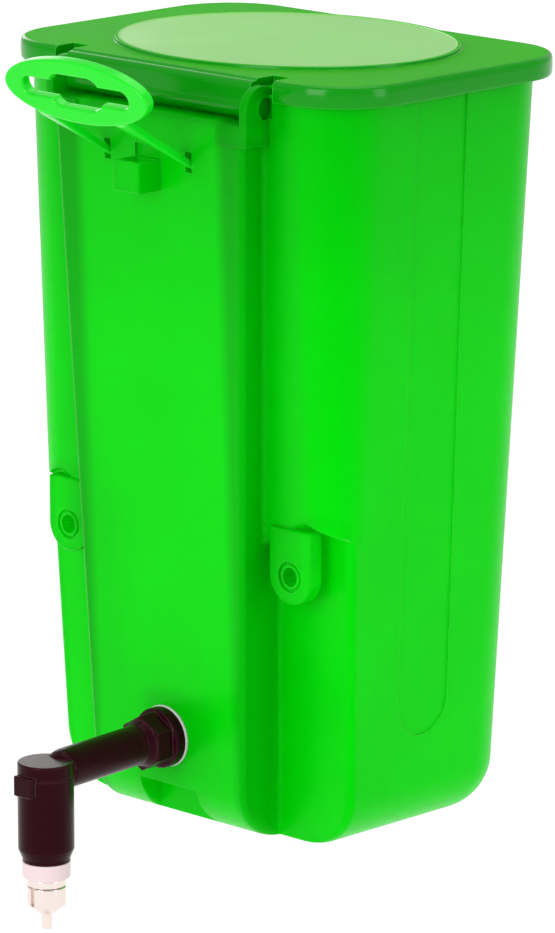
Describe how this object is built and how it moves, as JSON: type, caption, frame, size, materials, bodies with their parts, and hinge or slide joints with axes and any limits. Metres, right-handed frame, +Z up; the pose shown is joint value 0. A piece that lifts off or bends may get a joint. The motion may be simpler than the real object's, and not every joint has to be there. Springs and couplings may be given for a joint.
{
  "type": "cage-hung small-animal water drinker",
  "caption": "Upright translucent water tank with hinged lid, swinging hanging clip, lugs, outlet arm and trigger nipple.",
  "frame": {"origin": "midpoint between the two lug holes, in the plane of the lug front faces", "axes": "+Z up, +X to the right seen from the front, -Y out of the front towards the cage"},
  "size_m": [0.1284, 0.1401, 0.2246],
  "materials": {
    "tank_green": "glossy translucent",
    "lid_green": "fine textured with polished disc",
    "clip_green": "glossy translucent",
    "arm_black": "glossy",
    "washer_grey": "satin",
    "collar_white": "satin",
    "steel": "turned",
    "rubber": "matte",
    "spring_steel": "drawn wire"
  },
  "bodies": {
    "tank": {"tank_body": "tank_green", "outlet_arm": "arm_black", "flange_washer": "washer_grey", "inner_gasket": "rubber", "back_nut": "arm_black", "elbow_cap": "arm_black", "nipple_collar": "collar_white", "collar_seal": "rubber", "nipple_body": "steel", "nipple_sleeve": "steel", "valve_seal": "rubber", "valve_spring": "spring_steel", "spring_retainer": "steel", "strainer": "steel"},
    "lid": {"lid": "lid_green"},
    "clip": {"hanging_clip": "clip_green"},
    "trigger": {"valve_pin": "steel"}
  },
  "joints": [
    {"name": "lid_hinge", "type": "hinge", "parent": "tank", "child": "lid", "pos_m": [0, -0.00364, 0.1205], "axis": [1, 0, 0], "range_deg": [0, 95]},
    {"name": "clip_swing", "type": "hinge", "parent": "tank", "child": "clip", "pos_m": [0, -0.0085, 0.104], "axis": [1, 0, 0], "range_deg": [-20, 50]},
    {"name": "trigger_push", "type": "slide", "parent": "tank", "child": "trigger", "axis": [0, 0, 1], "range_m": [0, 0.0012], "stiffness_N_per_m": 200, "springref_m": -0.002, "deforming": ["valve_spring"]}
  ]
}
